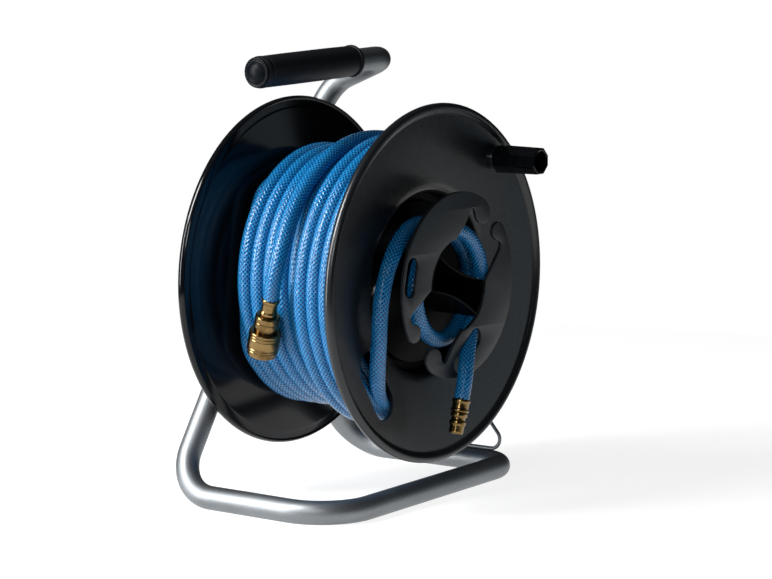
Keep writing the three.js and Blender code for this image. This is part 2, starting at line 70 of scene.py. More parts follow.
def add_camera():
    """A long lens a little above the axle, off the front left."""
    data = bpy.data.cameras.new("camera")
    data.lens = LENS
    data.sensor_width = 36.0
    data.clip_end = 20
    camera = bpy.data.objects.new("camera", data)
    azimuth, elevation = math.radians(CAMERA_AZIMUTH), math.radians(CAMERA_ELEVATION)
    back = Vector((
        math.sin(azimuth) * math.cos(elevation),
        -math.cos(azimuth) * math.cos(elevation),
        math.sin(elevation),
    ))
    right = Vector((math.cos(azimuth), math.sin(azimuth), 0))
    up = back.cross(right)
    turn = Matrix((right, up, back)).transposed().to_4x4()
    camera.matrix_world = Matrix.Translation(Vector(place(CAMERA_AT))) @ turn
    bpy.context.scene.collection.objects.link(camera)
    bpy.context.scene.camera = camera


# ---- curves ----
SPAN_STEPS = 8                   # stations between two points of a smooth curve


def smooth(points, step):
    """Centripetal Catmull-Rom through the points, resampled at an even step."""
    p = np.asarray(points, float)
    p = np.vstack([2 * p[0] - p[1], p, 2 * p[-1] - p[-2]])
    knots = np.concatenate([[0], np.cumsum(np.linalg.norm(np.diff(p, axis=0), axis=1) ** 0.5)])
    run = []
    for i in range(1, len(p) - 2):
        t0, t1, t2, t3 = knots[i - 1:i + 3]
        t = np.linspace(t1, t2, SPAN_STEPS + 1)[:-1, None]
        a1 = (t1 - t) / (t1 - t0) * p[i - 1] + (t - t0) / (t1 - t0) * p[i]
        a2 = (t2 - t) / (t2 - t1) * p[i] + (t - t1) / (t2 - t1) * p[i + 1]
        a3 = (t3 - t) / (t3 - t2) * p[i + 1] + (t - t2) / (t3 - t2) * p[i + 2]
        b1 = (t2 - t) / (t2 - t0) * a1 + (t - t0) / (t2 - t0) * a2
        b2 = (t3 - t) / (t3 - t1) * a2 + (t - t1) / (t3 - t1) * a3
        run.append((t2 - t) / (t2 - t1) * b1 + (t - t1) / (t2 - t1) * b2)
    run = np.vstack(run + [p[-2][None]])
    return resample(run, step)


def resample(run, step):
    """The same polyline with stations an even distance apart."""
    length = np.concatenate([[0], np.cumsum(np.linalg.norm(np.diff(run, axis=0), axis=1))])
    even = np.linspace(0, length[-1], max(2, int(round(length[-1] / step)) + 1))
    return np.stack([np.interp(even, length, run[:, k]) for k in range(3)], axis=1)


def polar(r, degrees, y):
    """Drum millimetres from a radius, an angle about the axle and a distance along it."""
    a = np.radians(degrees)
    return np.stack([r * np.cos(a), y * np.ones_like(a), r * np.sin(a)], axis=-1)


# ---- mesh building ----
MOULD_CREASE = 35                # degrees between faces from which an edge is sharp
TUBE_CREASE = 50
KNOB_CREASE = 22
TURNED_SIDES = 96                # sides of a small turned piece
FLANGE_SIDES = 180


def unit(v):
    """The vector scaled to length one."""
    v = np.asarray(v, float)
    return v / np.linalg.norm(v)


def new_object(name, verts, faces, material, crease=MOULD_CREASE, uvs=None):
    """An object from drum millimetres, with its UVs if there are any."""
    mesh = bpy.data.meshes.new(name)
    mesh.from_pydata([tuple(v) for v in place(verts)], [], [tuple(int(i) for i in f) for f in faces])
    if uvs is not None:
        layer = mesh.uv_layers.new(name="run")
        layer.data.foreach_set("uv", np.asarray(uvs, np.float32).ravel())
    return finish_mesh(name, mesh, material, crease)


def finish_mesh(name, mesh, material, crease):
    """An object of the mesh, its normals outward and its edges sharp over an angle."""
    bm = bmesh.new()
    bm.from_mesh(mesh)
    bmesh.ops.remove_doubles(bm, verts=bm.verts, dist=1e-6)
    bmesh.ops.recalc_face_normals(bm, faces=bm.faces)
    bm.to_mesh(mesh)
    bm.free()
    mesh.polygons.foreach_set("use_smooth", [True] * len(mesh.polygons))
    mesh.set_sharp_from_angle(angle=math.radians(crease))
    mesh.materials.append(material)
    obj = bpy.data.objects.new(name, mesh)
    bpy.context.scene.collection.objects.link(obj)
    return obj


def stand_in(piece, body, slot, *nodes):
    """Rides a piece on a body in place of some CAD nodes."""
    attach(piece, body)
    if nodes:
        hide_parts(*nodes)
    return piece


def frames_along(run):
    """Tangents and a pair of normals that don't twist along the run."""
    tangent = np.gradient(run, axis=0)
    tangent /= np.linalg.norm(tangent, axis=1)[:, None]
    start = np.cross(tangent[0], (0, 1, 0))
    if np.linalg.norm(start) < 0.1:
        start = np.cross(tangent[0], (1, 0, 0))
    normals = [unit(start)]
    for i in range(1, len(run)):
        carried = normals[-1] - tangent[i] * np.dot(normals[-1], tangent[i])
        normals.append(unit(carried))
    normals = np.array(normals)
    return tangent, normals, np.cross(tangent, normals)


def round_offsets(run, radius, sides):
    """For each station, the offsets of a round section from the run."""
    _, normal, side = frames_along(run)
    angle = np.arange(sides) * 2 * math.pi / sides
    cos, sin = np.cos(angle)[None, :, None], np.sin(angle)[None, :, None]
    return radius * (cos * normal[:, None] + sin * side[:, None])


def skin(name, rings, material, crease, looped=False):
    """Quads over rows of ring points, the UV holding millimetres along and turns around."""
    count, sides = rings.shape[:2]
    step = np.linalg.norm(np.diff(rings.mean(axis=1), axis=0), axis=1)
    if looped or step.sum() < 1e-3:
        step = np.linalg.norm(np.diff(rings[:, 0], axis=0), axis=1)
    distance = np.concatenate([[0], np.cumsum(step)])
    rows = count if looped else count - 1
    faces, uvs = [], []
    for i in range(rows):
        j = (i + 1) % count
        u0 = distance[i]
        u1 = distance[i + 1] if i + 1 < count else distance[-1] + 1
        for k in range(sides):
            n = (k + 1) % sides
            faces.append((i * sides + k, i * sides + n, j * sides + n, j * sides + k))
            uvs += [(u0, k / sides), (u0, (k + 1) / sides), (u1, (k + 1) / sides), (u1, k / sides)]
    if not looped:
        for row, order in ((0, -1), (count - 1, 1)):
            faces.append([row * sides + k for k in range(sides)][::order])
            uvs += [(distance[row], 0)] * sides
    return new_object(name, rings.reshape(-1, 3), faces, material, crease, uvs)


def tube(name, run, radius, sides, material):
    """A round bar along the run, closed at both ends."""
    return skin(name, run[:, None] + round_offsets(run, radius, sides), material, TUBE_CREASE)


BEND_STEPS = 24                  # stations in one bend


def bent(corners, radii, step):
    """Straight runs between corners, each corner rounded to its own bend radius."""
    at = np.array(corners, float)
    run = [at[0]]
    for i, radius in enumerate(radii, 1):
        before, after = unit(at[i] - at[i - 1]), unit(at[i + 1] - at[i])
        turn = math.acos(float(np.clip(before @ after, -1, 1)))
        start = at[i] - before * radius * math.tan(turn / 2)
        inward = unit(after - before * (after @ before))
        for angle in np.linspace(0, turn, BEND_STEPS):
            swing = before * math.sin(angle) - inward * math.cos(angle)
            run.append(start + inward * radius + radius * swing)
    return resample(np.array(run + [at[-1]]), step)


CORNER_SHARE = 0.42              # most of an edge that one rounded corner takes


def rounded(outline, radius, closed=True):
    """The outline with every corner turned into a small arc."""
    p = [np.asarray(point, float) for point in outline]
    soft = []
    for i, here in enumerate(p):
        if not closed and i in (0, len(p) - 1):
            soft.append(here)
            continue
        a, b = p[i - 1] - here, p[(i + 1) % len(p)] - here
        la, lb = np.linalg.norm(a), np.linalg.norm(b)
        reach = min(radius, CORNER_SHARE * la, CORNER_SHARE * lb)
        start, end = here + a / la * reach, here + b / lb * reach
        for t in (0, 0.33, 0.67, 1):
            soft.append((1 - t) ** 2 * start + 2 * t * (1 - t) * here + t * t * end)
    return np.array(soft)


def lathe(name, outline, sides, material, start=(0, 0, 0), towards=(0, 1, 0), closed=True):
    """An outline of radius and distance turned about the line from start towards a point."""
    start, along = np.asarray(start, float), unit(np.subtract(towards, start))
    across = unit(np.cross(along, (0, 0, 1) if abs(along[2]) < 0.9 else (1, 0, 0)))
    up = np.cross(across, along)
    angle = np.arange(sides) * 2 * math.pi / sides
    spoke = np.cos(angle)[:, None] * across + np.sin(angle)[:, None] * up
    rings = np.array([start + along * y + r * spoke for r, y in outline])
    return skin(name, rings, material, MOULD_CREASE, looped=closed)


def arc(cx, cz, r, start, end, step=4.0):
    """Points on an arc between two angles, all in degrees."""
    count = max(2, int(abs(end - start) / step) + 1)
    a = np.radians(np.linspace(start, end, count))
    return [(cx + r * math.cos(t), cz + r * math.sin(t)) for t in a]


def bend(start, pull, end, count=8):
    """A quadratic curve between two points, without its first point."""
    start, pull, end = (np.asarray(p, float) for p in (start, pull, end))
    t = np.linspace(0, 1, count + 1)[1:, None]
    return [tuple(p) for p in (1 - t) ** 2 * start + 2 * t * (1 - t) * pull + t * t * end]


def spot(r, degrees):
    """The x and z of a point at a radius and an angle."""
    return r * math.cos(math.radians(degrees)), r * math.sin(math.radians(degrees))


def stadium(a, b, r):
    """The outline of a slot with round ends about two points."""
    lean = math.degrees(math.atan2(b[1] - a[1], b[0] - a[0]))
    return arc(*b, r, lean - 90, lean + 90, 10) + arc(*a, r, lean + 90, lean + 270, 10)


def evaluated_mesh(obj):
    """A new mesh of the object as its curve settings or modifiers make it."""
    bpy.context.view_layer.update()
    return bpy.data.meshes.new_from_object(obj.evaluated_get(bpy.context.evaluated_depsgraph_get()))


def plate(name, outlines, y0, y1, edge, material):
    """A flat plate across Y from x, z outlines, those inside others being holes, its edges rounded."""
    curve = bpy.data.curves.new(name, "CURVE")
    curve.dimensions = "2D"
    curve.fill_mode = "BOTH"
    curve.extrude = (y1 - y0) / 2 - edge
    curve.bevel_depth = edge
    curve.bevel_resolution = 2
    curve.offset = -edge
    for outline in outlines:
        spline = curve.splines.new("POLY")
        spline.points.add(len(outline) - 1)
        spline.points.foreach_set("co", [c for x, z in outline for c in (x, z, 0, 1)])
        spline.use_cyclic_u = True
    holder = bpy.data.objects.new(name, curve)
    bpy.context.scene.collection.objects.link(holder)
    mesh = evaluated_mesh(holder)
    bpy.data.objects.remove(holder)
    bpy.data.curves.remove(curve)
    at = np.empty(len(mesh.vertices) * 3)
    mesh.vertices.foreach_get("co", at)
    x, z, y = at.reshape(-1, 3).T
    mesh.vertices.foreach_set("co", place(np.stack([x, (y0 + y1) / 2 - y, z], axis=1)).ravel())
    mesh.materials.clear()
    return finish_mesh(name, mesh, material, MOULD_CREASE)


def cut_away(obj, cutter):
    """Takes the cutter's solid out of the object."""
    modifier = obj.modifiers.new("cut", "BOOLEAN")
    modifier.operation = "DIFFERENCE"
    modifier.solver = "EXACT"
    modifier.object = cutter
    mesh = evaluated_mesh(obj)
    obj.modifiers.clear()
    obj.data = mesh
    bpy.data.objects.remove(cutter)


# ---- materials ----
def principled(name, color, roughness, metallic=0.0, **sockets):
    """A Principled material, any further sockets named with _ for a space."""
    material = bpy.data.materials.new(name)
    material.use_nodes = True
    shader = material.node_tree.nodes["Principled BSDF"]
    shader.inputs["Base Color"].default_value = (*color, 1)
    shader.inputs["Roughness"].default_value = roughness
    shader.inputs["Metallic"].default_value = metallic
    for key, value in sockets.items():
        shader.inputs[key.replace("_", " ")].default_value = value
    return material


class Nodes:
    """Short hand for building one material's node tree."""

    def __init__(self, material):
        self.tree = material.node_tree
        self.shader = self.tree.nodes["Principled BSDF"]

    def add(self, kind, **settings):
        node = self.tree.nodes.new(kind)
        for key, value in settings.items():
            setattr(node, key, value)
        return node

    def link(self, a, b):
        self.tree.links.new(a, b)

    def math(self, operation, a, b=None):
        node = self.add("ShaderNodeMath", operation=operation)
        for socket, value in zip(node.inputs, (a, b)):
            if value is None:
                continue
            if isinstance(value, (int, float)):
                socket.default_value = value
            else:
                self.link(value, socket)
        return node.outputs[0]

    def run_uv(self):
        """Millimetres along the piece and turns around it."""
        split = self.add("ShaderNodeSeparateXYZ")
        self.link(self.add("ShaderNodeUVMap", uv_map="run").outputs["UV"], split.inputs["Vector"])
        return split.outputs["X"], split.outputs["Y"]

    def noise(self, scale, detail, roughness=0.5):
        node = self.add("ShaderNodeTexNoise")
        node.inputs["Scale"].default_value = scale
        node.inputs["Detail"].default_value = detail
        node.inputs["Roughness"].default_value = roughness
        self.link(self.add("ShaderNodeTexCoord").outputs["Object"], node.inputs["Vector"])
        return node.outputs["Fac"]

    def ramp(self, factor, stops):
        node = self.add("ShaderNodeValToRGB")
        elements = node.color_ramp.elements
        while len(elements) < len(stops):
            elements.new(0.5)
        for element, (at, color) in zip(elements, stops):
            element.position = at
            element.color = (*color, 1)
        self.link(factor, node.inputs["Fac"])
        return node.outputs["Color"]

    def bump(self, height, strength, distance):
        node = self.add("ShaderNodeBump")
        node.inputs["Strength"].default_value = strength
        node.inputs["Distance"].default_value = distance
        self.link(height, node.inputs["Height"])
        self.link(node.outputs["Normal"], self.shader.inputs["Normal"])

    def spread(self, socket, factor, low, high):
        """Drives one of the shader's sockets between two values."""
        node = self.add("ShaderNodeMapRange")
        node.inputs["To Min"].default_value = low
        node.inputs["To Max"].default_value = high
        self.link(factor, node.inputs["Value"])
        self.link(node.outputs["Result"], self.shader.inputs[socket])


BRAID_THREADS = 12               # crossing threads each way round the hose
BRAID_PITCH = 3.3                # millimetres between crossings along the hose


def hose_material():
    """Blue PVC over a two-way braid, whose threads show pale and lift the glossy skin."""
    material = principled("hose_pvc", (0.0, 0.12, 0.4), 0.2, Specular_IOR_Level=0.5)
    n = Nodes(material)
    along, around = n.run_uv()
    threads = []
    for lean in (1, -1):
        turned = n.math("MULTIPLY", around, BRAID_THREADS * lean)
        phase = n.math("ADD", turned, n.math("MULTIPLY", along, 1 / BRAID_PITCH))
        wave = n.math("SINE", n.math("MULTIPLY", phase, 2 * math.pi))
        threads.append(n.math("MULTIPLY", n.math("ADD", wave, 1.0), 0.5))
    dashes = n.math("MAXIMUM", *(n.math("POWER", thread, 2.2) for thread in threads))
    patchy = n.noise(260, 3)
    weave = n.math("ADD", n.math("MULTIPLY", dashes, 0.85), n.math("MULTIPLY", patchy, 0.2))
    color = n.ramp(weave, [
        (0.15, (0.0, 0.035, 0.125)), (0.45, (0.0, 0.055, 0.19)),
        (0.72, (0.0, 0.09, 0.27)), (0.95, (0.02, 0.29, 0.6)),
    ])
    n.link(color, n.shader.inputs["Base Color"])
    n.spread("Roughness", dashes, 0.26, 0.08)
    n.bump(dashes, 0.8, 0.00028)
    return material


def moulded(name, color, roughness, grain, depth, gloss):
    """Black moulding with a fine grain, slight mottling and uneven polish."""
    material = principled(name, color, roughness, Specular_IOR_Level=gloss)
    n = Nodes(material)
    fine = n.noise(grain, 5, 0.65)
    broad = n.noise(14, 3)
    mix = n.math("ADD", n.math("MULTIPLY", fine, 0.6), n.math("MULTIPLY", broad, 0.4))
    dark, light = [tuple(c * k for c in color) for k in (0.6, 1.5)]
    n.link(n.ramp(mix, [(0.3, dark), (0.7, light)]), n.shader.inputs["Base Color"])
    n.spread("Roughness", mix, roughness * 0.85, min(1.0, roughness * 1.2))
    n.bump(fine, 0.5, depth)
    return material


def metal(name, color, roughness, grain, depth):
    """Metal with faint mottling and a slightly uneven finish."""
    material = principled(name, color, roughness, 1.0)
    n = Nodes(material)
    fine = n.noise(grain, 4, 0.6)
    broad = n.noise(22, 2)
    mix = n.math("ADD", n.math("MULTIPLY", fine, 0.5), n.math("MULTIPLY", broad, 0.5))
    dark, light = [tuple(min(1.0, c * k) for c in color) for k in (0.8, 1.15)]
    n.link(n.ramp(mix, [(0.3, dark), (0.7, light)]), n.shader.inputs["Base Color"])
    n.spread("Roughness", mix, roughness * 0.8, roughness * 1.25)
    n.bump(fine, 0.35, depth)
    return material


def brass_material():
    """Brass with fine rings left by turning and a few darker stains."""
    material = principled("brass", (0.3, 0.2, 0.085), 0.2, 1.0)
    n = Nodes(material)
    along, _ = n.run_uv()
    rings = n.add("ShaderNodeTexNoise", noise_dimensions="1D")
    rings.inputs["Scale"].default_value = 4.5
    rings.inputs["Detail"].default_value = 3
    n.link(along, rings.inputs["W"])
    stain = n.noise(120, 4)
    color = n.ramp(stain, [(0.3, (0.13, 0.08, 0.027)), (0.6, (0.25, 0.165, 0.068))])
    n.link(color, n.shader.inputs["Base Color"])
    n.spread("Roughness", stain, 0.14, 0.28)
    n.bump(rings.outputs["Fac"], 0.25, 0.00015)
    return material


# ---- frame ----
TUBE_R = 9.0
FLOOR_TUBE_Z = -160.5
FLOOR_Z = -168.9
BACK_Y = 95.0
TAB_Y = 105.8                    # middle plane of the strut's pressed end
TAB_HALF = 1.5
TAB_LENGTH = 49.0
TAB_TAPER = 16.0                 # length over which the tube goes flat
TAB_SPREAD = 0.35                # share by which it widens there
TAB_ROUND = 9.0                  # length of the tab's round tip
TAB_FROM = (25, TAB_Y, -30)
STRUT_FOOT = (124, TAB_Y, FLOOR_TUBE_Z)
HANDLE_CORNER = (68, 28, 163.5)
GRIP_AT = (-90, 28, 158.5)       # where the grip's own distances are counted from


def upright(z):
    """The middle of the leaning upright at a height."""
    return -9.5 + 0.645 * z, BACK_Y, z


def add_frame(material):
    """One bent tube from inside the grip to the strut's pressed end."""
    tab = unit(np.subtract(TAB_FROM, STRUT_FOOT))
    corners = [
        GRIP_AT, HANDLE_CORNER, upright(139), upright(FLOOR_TUBE_Z), (-113, -58, FLOOR_TUBE_Z),
        (131, -46, FLOOR_TUBE_Z), STRUT_FOOT, tuple(np.add(TAB_FROM, tab * TAB_LENGTH)),
    ]
    run = bent(corners, [24, 26, 36, 40, 24, 34], 2.0)
    offsets = round_offsets(run, TUBE_R, 40)
    to_end = np.linalg.norm(run - run[-1], axis=1)
    to_end[: len(run) // 2] = np.inf
    t = np.clip((TAB_LENGTH + 1 - to_end) / TAB_TAPER, 0, 1)
    pressed = (t * t * (3 - 2 * t))[:, None]
    tip = np.sqrt(np.clip(1 - (1 - np.clip(to_end / TAB_ROUND, 0, 1)) ** 2, 0.04, 1))[:, None]
    offsets[:, :, 1] *= 1 - (1 - TAB_HALF / TUBE_R) * pressed
    offsets[:, :, 0] *= (1 + TAB_SPREAD * pressed) * tip
    offsets[:, :, 2] *= (1 + TAB_SPREAD * pressed) * tip
    rings = run[:, None] + offsets
    rings[:, :, 2] = np.maximum(rings[:, :, 2], FLOOR_Z)
    stand_in(skin("frame_loop", rings, material, TUBE_CREASE), "frame", "frame_steel", "frame_tube")


def add_grip(rubber, cap):
    """The ribbed sleeve, and the domed cap in the tube's open end."""
    sleeve = [
        (9.3, -2), (11.4, -2), (12, -0.5), (12, 2), (11.3, 2.8), (11.3, 4.4), (11.8, 5.2), (12, 30),
        (12, 80), (11.8, 106), (11.2, 107), (11.2, 108.4), (12.4, 109.2), (12.4, 111.2),
        (11.6, 112), (9.3, 112),
    ]
    piece = lathe("grip_rubber", rounded(sleeve, 0.5), TURNED_SIDES, rubber, GRIP_AT, HANDLE_CORNER)
    stand_in(piece, "frame", "grip_rubber", "grip_sleeve")
    dome = [
        (0, -7.9), (3, -7.6), (5.6, -6.8), (7.4, -5.4), (8.5, -4.3), (9.3, -4.1), (10.3, -4.6),
        (11.2, -4.2), (11.5, -3.2), (11.5, -2.3), (7.2, -2.3), (7.2, 12), (0, 12),
    ]
    dome = rounded(dome, 0.8, False)
    piece = lathe("grip_cap", dome, TURNED_SIDES, cap, GRIP_AT, HANDLE_CORNER, False)
    stand_in(piece, "frame", "drum_plastic", "grip_end_cap")


GUIDE_R = 1.5
GUIDE_FOOT = FLOOR_TUBE_Z + TUBE_R + 1.8


def add_guide(material):
    """A wire eye on the right side rail, its two ends meeting at the foot."""
    corners = [
        (127.3, 6.05, GUIDE_FOOT), (124.1, 52, GUIDE_FOOT), (127.1, 2, -92),
        (128.5, -47, GUIDE_FOOT), (127.3, 5.95, GUIDE_FOOT),
    ]
    piece = tube("guide_wire", bent(corners, [8, 16, 8], 1.0), GUIDE_R, 16, material)
    stand_in(piece, "frame", "frame_steel", "guide_loop")


# ---- drum ----
RIM_R = 135.0
WELL_R = 67.0
LEDGE_Y = -47.0
BARREL_R = 78.0
BARREL_INNER_R = 75.0
BARREL_START = -58.6
BARREL_END = 56.7                # where the rear flange takes over
FLANGE_T = 3.0
WELL_SHADE_R = WELL_R + 3              # painted shade: the well's faces inside this radius take a near-black material
RIBS = 8


def dish(r):
    """Height of a flange's face over the drum's middle."""
    return 60 + (r - WELL_R) * 0.15


def lip(side):
    """The rolled rim of a flange, the side being -1 in front and 1 behind."""
    inner = RIM_R - 7
    outline = [
        (inner - 1.5, dish(inner - 1.5)), (inner, dish(inner) + 0.4), (inner + 0.9, 71.0),
        (inner + 2.2, 72.1), (inner + 3.8, 72.4), (RIM_R - 2.2, 72.2), (RIM_R - 0.9, 71.2),
        (RIM_R - 0.2, 69.9), (RIM_R, 68.5), (RIM_R - 0.3, 67), (RIM_R - 1.1, 65.7),
        (RIM_R - 2.2, 65.4), (RIM_R - 2.6, 67.2), (inner - 1, dish(inner) - FLANGE_T),
    ]
    return [(r, side * y) for r, y in outline]


def add_front_half(material, well_shade):
    """The front flange with its well and barrel in one, slotted for the hose, and the knob's boss."""
    face = [(r, -dish(r)) for r in np.linspace(75, 126, 12)]
    outline = [
        (50, LEDGE_Y), (WELL_R, LEDGE_Y), (WELL_R, -50), (WELL_R, -53),
        (67.3, -55.6), (68.2, -57.6), (69.6, -59.2), (71.8, -60.4), *face, *lip(-1),
        (BARREL_R, BARREL_START), (BARREL_R, BARREL_END), (BARREL_INNER_R, BARREL_END),
        (BARREL_INNER_R, BARREL_START), (70, BARREL_START), (70, -44), (50, -44),
    ]
    drum = lathe("drum_front", rounded(outline, 0.7), FLANGE_SIDES, material)
    slot = plate("slot_tool", [stadium((-79, -55), (-63, -82), 13)], -82, -55, 0.1, material)
    cut_away(drum, slot)
    drum.data.polygons.foreach_set("use_smooth", [True] * len(drum.data.polygons))
    drum.data.set_sharp_from_angle(angle=math.radians(MOULD_CREASE))
    # painted shade: faces inside the well take the near-black material in place of the recess's shade
    drum.data.materials.append(well_shade)
    for polygon in drum.data.polygons:
        x, _, z = (np.array(polygon.center) - AXIS) / MM
        if math.hypot(x, z) < WELL_SHADE_R:
            polygon.material_index = 1
    stand_in(drum, "drum", "drum_plastic", "front_drum_half")
    boss = [(0, -66), (0, -72), (7.6, -72), (8.4, -71.2), (9, -66)]
    x, z = KNOB_AT
    piece = lathe("knob_boss", rounded(boss, 0.5), 48, material, (x, 0, z), (x, 1, z))
    stand_in(piece, "drum", "drum_plastic")


def add_rear_flange(material):
    """The glossy rear flange with its bearing boss, and shallow ribs across its back."""
    face = [(r, dish(r)) for r in np.linspace(126, 72, 12)]
    inner = [(r, dish(r) - FLANGE_T) for r in np.linspace(72, 126, 12)]
    outline = [
        (9, 14), (13, 14), (14, 57), (69, 57), *inner, *lip(1)[::-1], *face,
        (63, 60), (16, 60), (13, 74), (9, 74),
    ]
    flange = lathe("drum_rear", rounded(outline, 0.7), FLANGE_SIDES, material)
    stand_in(flange, "drum", "drum_gloss", "rear_flange")
    rib = [(15, -1.2), (60, -1.2), (60, 1.2), (15, 1.2)]
    for i in range(RIBS):
        turn = math.radians((i + 0.5) * 360 / RIBS)
        cos, sin = math.cos(turn), math.sin(turn)
        turned = [(x * cos - z * sin, x * sin + z * cos) for x, z in rib]
        stand_in(plate(f"rear_rib_{i + 1}", [turned], 59.5, 65.5, 0.5, material), "drum", "drum_gloss")


# ---- hose-end clip ----
CLIP_FRONT = -88.5
CLIP_T = 3.0
CLIP_R = 70.0
HOOK_ANGLE = 60
HUB_R = 35.0
HUB_BASE = -47.8
HUB_ARC = 48                     # degrees of each of its two arcs
HUB_WAIST_R = 9.6


def crescent(lobe_at, notch):
    """One crescent: a round lobe, a notch, an arm on the hub and a hook."""
    outline = arc(0, 0, CLIP_R, HOOK_ANGLE, lobe_at - 5, 2.5)
    outline += arc(*spot(62.4, lobe_at), 7.4, lobe_at, lobe_at + 168, 8)
    outline += [tuple(p) for p in rounded([outline[-1], *notch, spot(HUB_R, 180)], 1.6, False)[1:]]
    outline += arc(0, 0, HUB_R, 179, 96, 4)
    outline += bend(outline[-1], (5, 42), (8.6, 46), 3)
    outline += [(15, 54.5)]
    hook = [
        ((18.6, 58.8), (21.2, 53.6)), ((22.4, 44.6), (30.4, 43.6)), ((38.6, 43), (40.2, 48.6)),
        ((41.6, 54.6), spot(CLIP_R, HOOK_ANGLE)),
    ]
    for pull, end in hook:
        outline += bend(outline[-1], pull, end)
    return outline[:-1]


LEFT_NOTCH = [(-51.5, -23.2), (-57, -22.4), (-60.4, -19.5), (-60, -15.8)]
RIGHT_NOTCH = [(-50.4, -28.6), (-53.6, -28), (-55.4, -26), (-54.6, -23)]


def hub_outline(inset):
    """The bow-tie hub, two arcs joined by curves that pinch its middle."""
    r = HUB_R - inset
    outline = []
    for start in (133, 313):
        outline += arc(0, 0, r, start + inset, start + HUB_ARC, 4)
        near, far = spot(r, start + HUB_ARC), spot(r - 0.5, start + 180 + inset)
        waist = spot(HUB_WAIST_R - inset, start + 115)
        pull = (waist[0] - (near[0] + far[0]) * 0.1, waist[1] - (near[1] + far[1]) * 0.1)
        outline += bend(near, pull, far, 14)[:-1]
    return outline


def add_clip(grained, glossy):
    """Two grained crescents on a hub with a pocket, closed by a disc behind; the hub, the pocket's floor
    and the disc are near-black with painted shade.
    """
    left = [crescent(208, LEFT_NOTCH), stadium((-61.2, 4), (-57.7, 20), 6.6)]
    right = [
        [(-x, -z) for x, z in crescent(215, RIGHT_NOTCH)],
        stadium((1, -59), (22, -41.5), 7),
    ]
    plates = [
        plate(name, outlines, CLIP_FRONT, CLIP_FRONT + CLIP_T, 0.6, grained)
        for name, outlines in (("clip_left", left), ("clip_right", right))
    ]
    # painted shade: the hub, its pocket's floor and the disc behind take the near-black shade material
    hub = plate("clip_hub", [hub_outline(0), hub_outline(2.4)], CLIP_FRONT + 0.8, HUB_BASE, 0.3, glossy)
    floor = plate("clip_pocket", [hub_outline(1)], HUB_BASE - 6, HUB_BASE - 0.4, 0.4, glossy)
    disc = rounded([(0, -50.3), (61, -50.3), (61, -47.3), (0, -47.3)], 0.5)
    base = lathe("clip_base", disc, TURNED_SIDES, glossy)
    for piece in (*plates, floor, base):
        stand_in(piece, "drum", "drum_plastic")
    stand_in(hub, "drum", "drum_plastic", "hose_clip")


# ---- crank knob ----
KNOB_AT = (74, 88.5)             # x and z
KNOB_NEAR = -72.9
KNOB_FAR = -111.5
KNOB_BORE = 7.7
KNOB_PIN_HOLE = 3.4


def add_knob(material):
    """Eight-sided turning knob with a round hollow."""
    near, far, bore, hole = KNOB_NEAR, KNOB_FAR, KNOB_BORE, KNOB_PIN_HOLE
    sides = TURNED_SIDES
    angle = np.arange(sides) * 2 * math.pi / sides
    flat = 1 / np.cos((angle + math.pi / 8) % (math.pi / 4) - math.pi / 8)
    flat = np.minimum(flat, flat.max() * 0.992) * math.cos(math.pi / 8)
    rows = [
        (hole, near, False), (10.4, near, True), (11.1, near - 0.6, True), (11.2, near - 1.6, True),
        (10.7, far + 1.5, True), (10.5, far + 0.5, True), (9.9, far, True),
        (bore + 0.9, far, False), (bore + 0.2, far + 0.3, False), (bore, far + 1, False),
        (bore, near - 7, False), (bore - 0.8, near - 6, False), (hole, near - 6, False),
    ]
    x, z = KNOB_AT
    rings = []
    for r, y, eight_sided in rows:
        reach = r * (flat if eight_sided else np.ones(sides))
        across, up = x + reach * np.cos(angle), z + reach * np.sin(angle)
        rings.append(np.stack([across, np.full(sides, y), up], axis=1))
    knob = skin("knob_grip", np.array(rings), material, KNOB_CREASE, looped=True)
    stand_in(knob, "crank_knob", "drum_plastic", "crank_knob")


# ---- hose ----
HOSE_R = 6.0
LAYER_R = (84.0, 94.5, 105.0)
WIND_STEP = 15.0                 # degrees between stations
LAYER_RISE = 75                  # degrees in which the hose climbs to the next layer
EASE = np.array([1, 2, 3, 4, 3, 2, 1]) / 16      # weights that round off the climbs
SLOT_R = 101.0                   # where the hose comes in under the front slot
TAIL_ROUTE = [
    # x, y, z from the slot, over the flange and round the hub, to the clip's exit
    (-34.5, -53, -95), (-50, -55.2, -87), (-61.3, -59.4, -78), (-70, -65, -66.5), (-76, -69.9, -51),
    (-79.2, -73.3, -35.5), (-80, -74.5, -21), (-77.5, -74.7, -2), (-71, -74.2, 15),
    (-60, -72.8, 30), (-45, -70.3, 41), (-27, -67.8, 46.5), (-8, -66.4, 45.2), (10.8, -66.2, 40.2),
    (26.6, -66.2, 31.7), (37.7, -66.2, 17.6), (41.6, -66.4, 0), (37.7, -67.4, -17.6),
    (26.8, -69.2, -31.9), (10.8, -71.4, -40.2), (-7.2, -73.6, -41), (-23.9, -75.7, -34.1),
    (-36.2, -77.3, -20.6), (-41.6, -78.3, -3.6), (-39, -78.8, 14.2), (-29.5, -79, 29.2),
    (-14.2, -79.2, 39), (3.6, -79, 41.6), (20.8, -79, 36), (34, -79, 24), (41, -79, 7),
    (41, -79, -10.8), (34.8, -78.8, -26), (26.5, -80, -36.2), (19, -84.2, -43.5),
    (11.6, -88.2, -50), (5.2, -91.8, -57), (0.2, -94.3, -65.5), (-3.4, -95.4, -75),
]
TAIL_END = (-6, -95.3, -84)
LEAD_POLAR = [
    # radius, angle, y
    (104.0, 20, -15), (104.6, 40, -13), (105.3, 60, -10.5), (105.8, 78, -7.5), (105.6, 95, -3.8),
    (105.3, 112, -2.6), (105.4, 128, -2.6), (107.6, 140, -3.6), (111, 150, -5.6),
    (114.5, 160, -7.6), (116.4, 168, -7.6), (116.9, 175, -5.6),
]
LEAD_END = (-114, -1, -4)


def layer(start, turns, r, y0, y1):
    """One wound layer as rows of radius, angle and y."""
    angle = np.arange(start, start + 360 * turns, WIND_STEP)
    return np.stack([np.full(len(angle), r), angle, np.linspace(y0, y1, len(angle))], axis=1)


